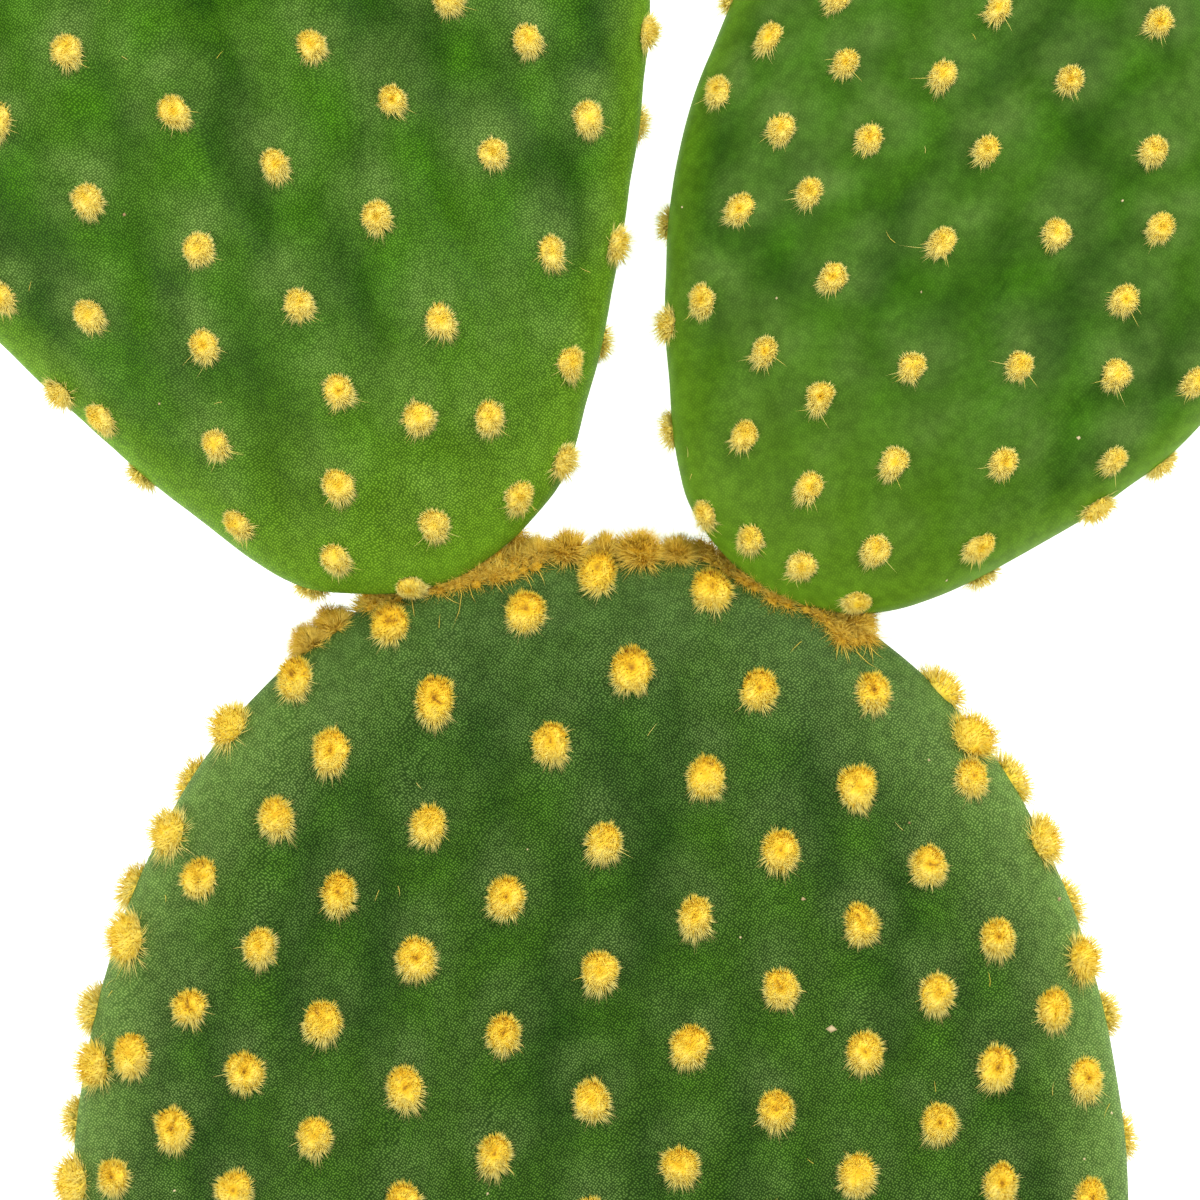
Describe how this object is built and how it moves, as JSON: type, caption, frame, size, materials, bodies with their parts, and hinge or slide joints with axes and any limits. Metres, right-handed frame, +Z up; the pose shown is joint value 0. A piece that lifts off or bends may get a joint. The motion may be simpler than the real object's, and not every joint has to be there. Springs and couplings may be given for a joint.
{
  "type": "prickly pear cactus cutting",
  "caption": "Cut prickly pear stem lying flat: a mature oval pad with two younger pads grown from its top rim, dotted with golden tufts of short bristles.",
  "frame": {"origin": "on the ground, under the middle of the box of the whole cutting", "axes": "+Z up out of the front faces of the pads, +Y along the mature pad from its cut neck to its top rim, +X to the right seen from above"},
  "size_m": [0.1302, 0.2104, 0.0177],
  "materials": {
    "mature_skin": "leathery, finely pebbled skin of the mature pad, deep green with a thin pale bloom of wax, semi-matt",
    "young_skin": "finely pebbled skin of the younger pads, brighter yellow-green, thin pale bloom, semi-matt",
    "glochids": "dense tufts of fine short bristles, golden with cream tips, browner where they are old",
    "dry_cork": "dry, matt, cracked cork of the healed cut, with tan crumbs and specks"
  },
  "bodies": {
    "root": {"left_rest_tuft_01": "glochids", "left_rest_tuft_02": "glochids", "left_rest_tuft_03": "glochids", "left_rest_tuft_04": "glochids", "left_rest_tuft_05": "glochids", "left_rest_tuft_06": "glochids", "left_rest_tuft_07": "glochids", "left_rest_tuft_08": "glochids", "left_rest_tuft_09": "glochids", "left_rest_tuft_10": "glochids", "left_rest_tuft_11": "glochids", "left_rest_tuft_12": "glochids", "lower_pad": "mature_skin", "lower_rest_tuft_01": "glochids", "lower_rest_tuft_02": "glochids", "lower_rest_tuft_03": "glochids", "lower_rest_tuft_04": "glochids", "lower_rest_tuft_05": "glochids", "lower_rest_tuft_06": "glochids", "lower_rest_tuft_07": "glochids", "lower_rest_tuft_08": "glochids", "lower_rest_tuft_09": "glochids", "lower_rest_tuft_10": "glochids", "lower_rest_tuft_11": "glochids", "lower_rest_tuft_12": "glochids", "lower_rest_tuft_13": "glochids", "lower_rest_tuft_14": "glochids", "lower_rest_tuft_15": "glochids", "lower_rest_tuft_16": "glochids", "lower_rest_tuft_17": "glochids", "lower_rest_tuft_18": "glochids", "lower_rest_tuft_19": "glochids", "lower_rest_tuft_20": "glochids", "lower_rest_tuft_21": "glochids", "lower_rest_tuft_22": "glochids", "lower_rest_tuft_23": "glochids", "lower_rest_tuft_24": "glochids", "lower_rest_tuft_25": "glochids", "lower_rest_tuft_26": "glochids", "lower_rest_tuft_27": "glochids", "lower_rest_tuft_28": "glochids", "right_rest_tuft_01": "glochids", "right_rest_tuft_02": "glochids", "right_rest_tuft_03": "glochids", "right_rest_tuft_04": "glochids", "right_rest_tuft_05": "glochids", "right_rest_tuft_06": "glochids", "right_rest_tuft_07": "glochids", "upper_left_pad": "young_skin", "upper_right_pad": "young_skin"}
  },
  "joints": []
}
